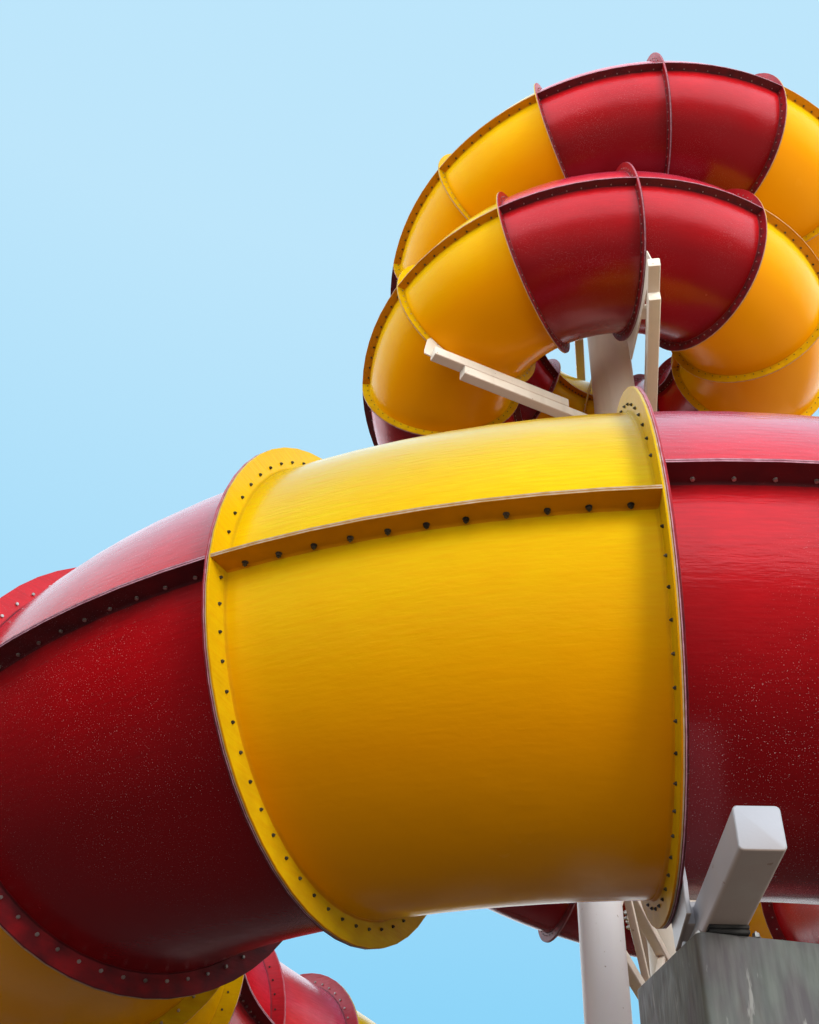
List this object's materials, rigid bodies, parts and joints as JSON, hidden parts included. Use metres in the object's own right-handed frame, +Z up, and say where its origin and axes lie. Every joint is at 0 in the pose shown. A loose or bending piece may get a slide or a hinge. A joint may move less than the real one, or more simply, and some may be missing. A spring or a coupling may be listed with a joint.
{
  "type": "enclosed spiral water slide tower",
  "caption": "Enclosed spiral water slide of bolted red and yellow tube sections, carried on bracket arms round a steel mast, with a wide lower bend and a straight run-out.",
  "frame": {"origin": "centre of the underside of the mast's base plate, on the mast's axis, at ground level", "axes": "+Z up; +Y away from the side that the picture was taken from; +X to that picture's right"},
  "size_m": [7.1356, 9.5871, 12.995],
  "materials": {
    "gelcoat_red": "glossy pigmented resin over glass fibre",
    "gelcoat_yellow": "glossy pigmented resin over glass fibre",
    "cream_paint": "semi-gloss cream paint on steel",
    "white_paint": "semi-gloss white paint on steel",
    "grey_steel": "dull grey coating with fine upright streaks",
    "pad_rubber": "matt black rubber"
  },
  "bodies": {
    "root": {"flume_top_1": "gelcoat_red", "flume_top_2": "gelcoat_yellow", "flume_top_3": "gelcoat_red", "flume_top_4": "gelcoat_yellow", "flume_back_1": "gelcoat_red", "flume_back_2": "gelcoat_yellow", "flume_back_3": "gelcoat_red", "flume_middle_1": "gelcoat_yellow", "flume_middle_2": "gelcoat_red", "flume_middle_3": "gelcoat_yellow", "flume_lower_1": "gelcoat_red", "flume_lower_2": "gelcoat_yellow", "flume_lower_3": "gelcoat_red", "flume_lower_4": "gelcoat_yellow", "flume_lower_5": "gelcoat_red", "flume_lower_6": "gelcoat_yellow", "flume_lower_7": "gelcoat_red", "flume_lower_8": "gelcoat_yellow", "flume_link": "gelcoat_red", "flume_bend_1": "gelcoat_yellow", "flume_bend_2": "gelcoat_red", "flume_bend_3": "gelcoat_yellow", "flume_bend_4": "gelcoat_red", "flume_bend_5": "gelcoat_yellow", "flume_bend_6": "gelcoat_red", "flume_runout_1": "gelcoat_yellow", "flume_runout_2": "gelcoat_red", "arm_top_right": "cream_paint", "arm_top_front": "cream_paint", "arm_top_left": "cream_paint", "arm_top_back": "cream_paint", "arm_middle_right": "cream_paint", "arm_middle_front": "cream_paint", "arm_middle_left": "cream_paint", "arm_lower_back_left": "cream_paint", "arm_lower_right": "cream_paint", "arm_lower_front": "cream_paint", "arm_lower_left": "cream_paint", "arm_lower_back_right": "cream_paint", "arm_link": "cream_paint", "arm_bend_right": "white_paint", "arm_bend_front": "white_paint", "arm_bend_left": "white_paint", "arm_bend_end": "white_paint", "tie_truss": "cream_paint", "near_column": "white_paint", "mast": "cream_paint", "grey_post": "grey_steel", "rubber_pad": "pad_rubber", "runout_frame_1": "cream_paint", "runout_frame_2": "cream_paint", "runout_frame_3": "cream_paint"}
  },
  "joints": []
}
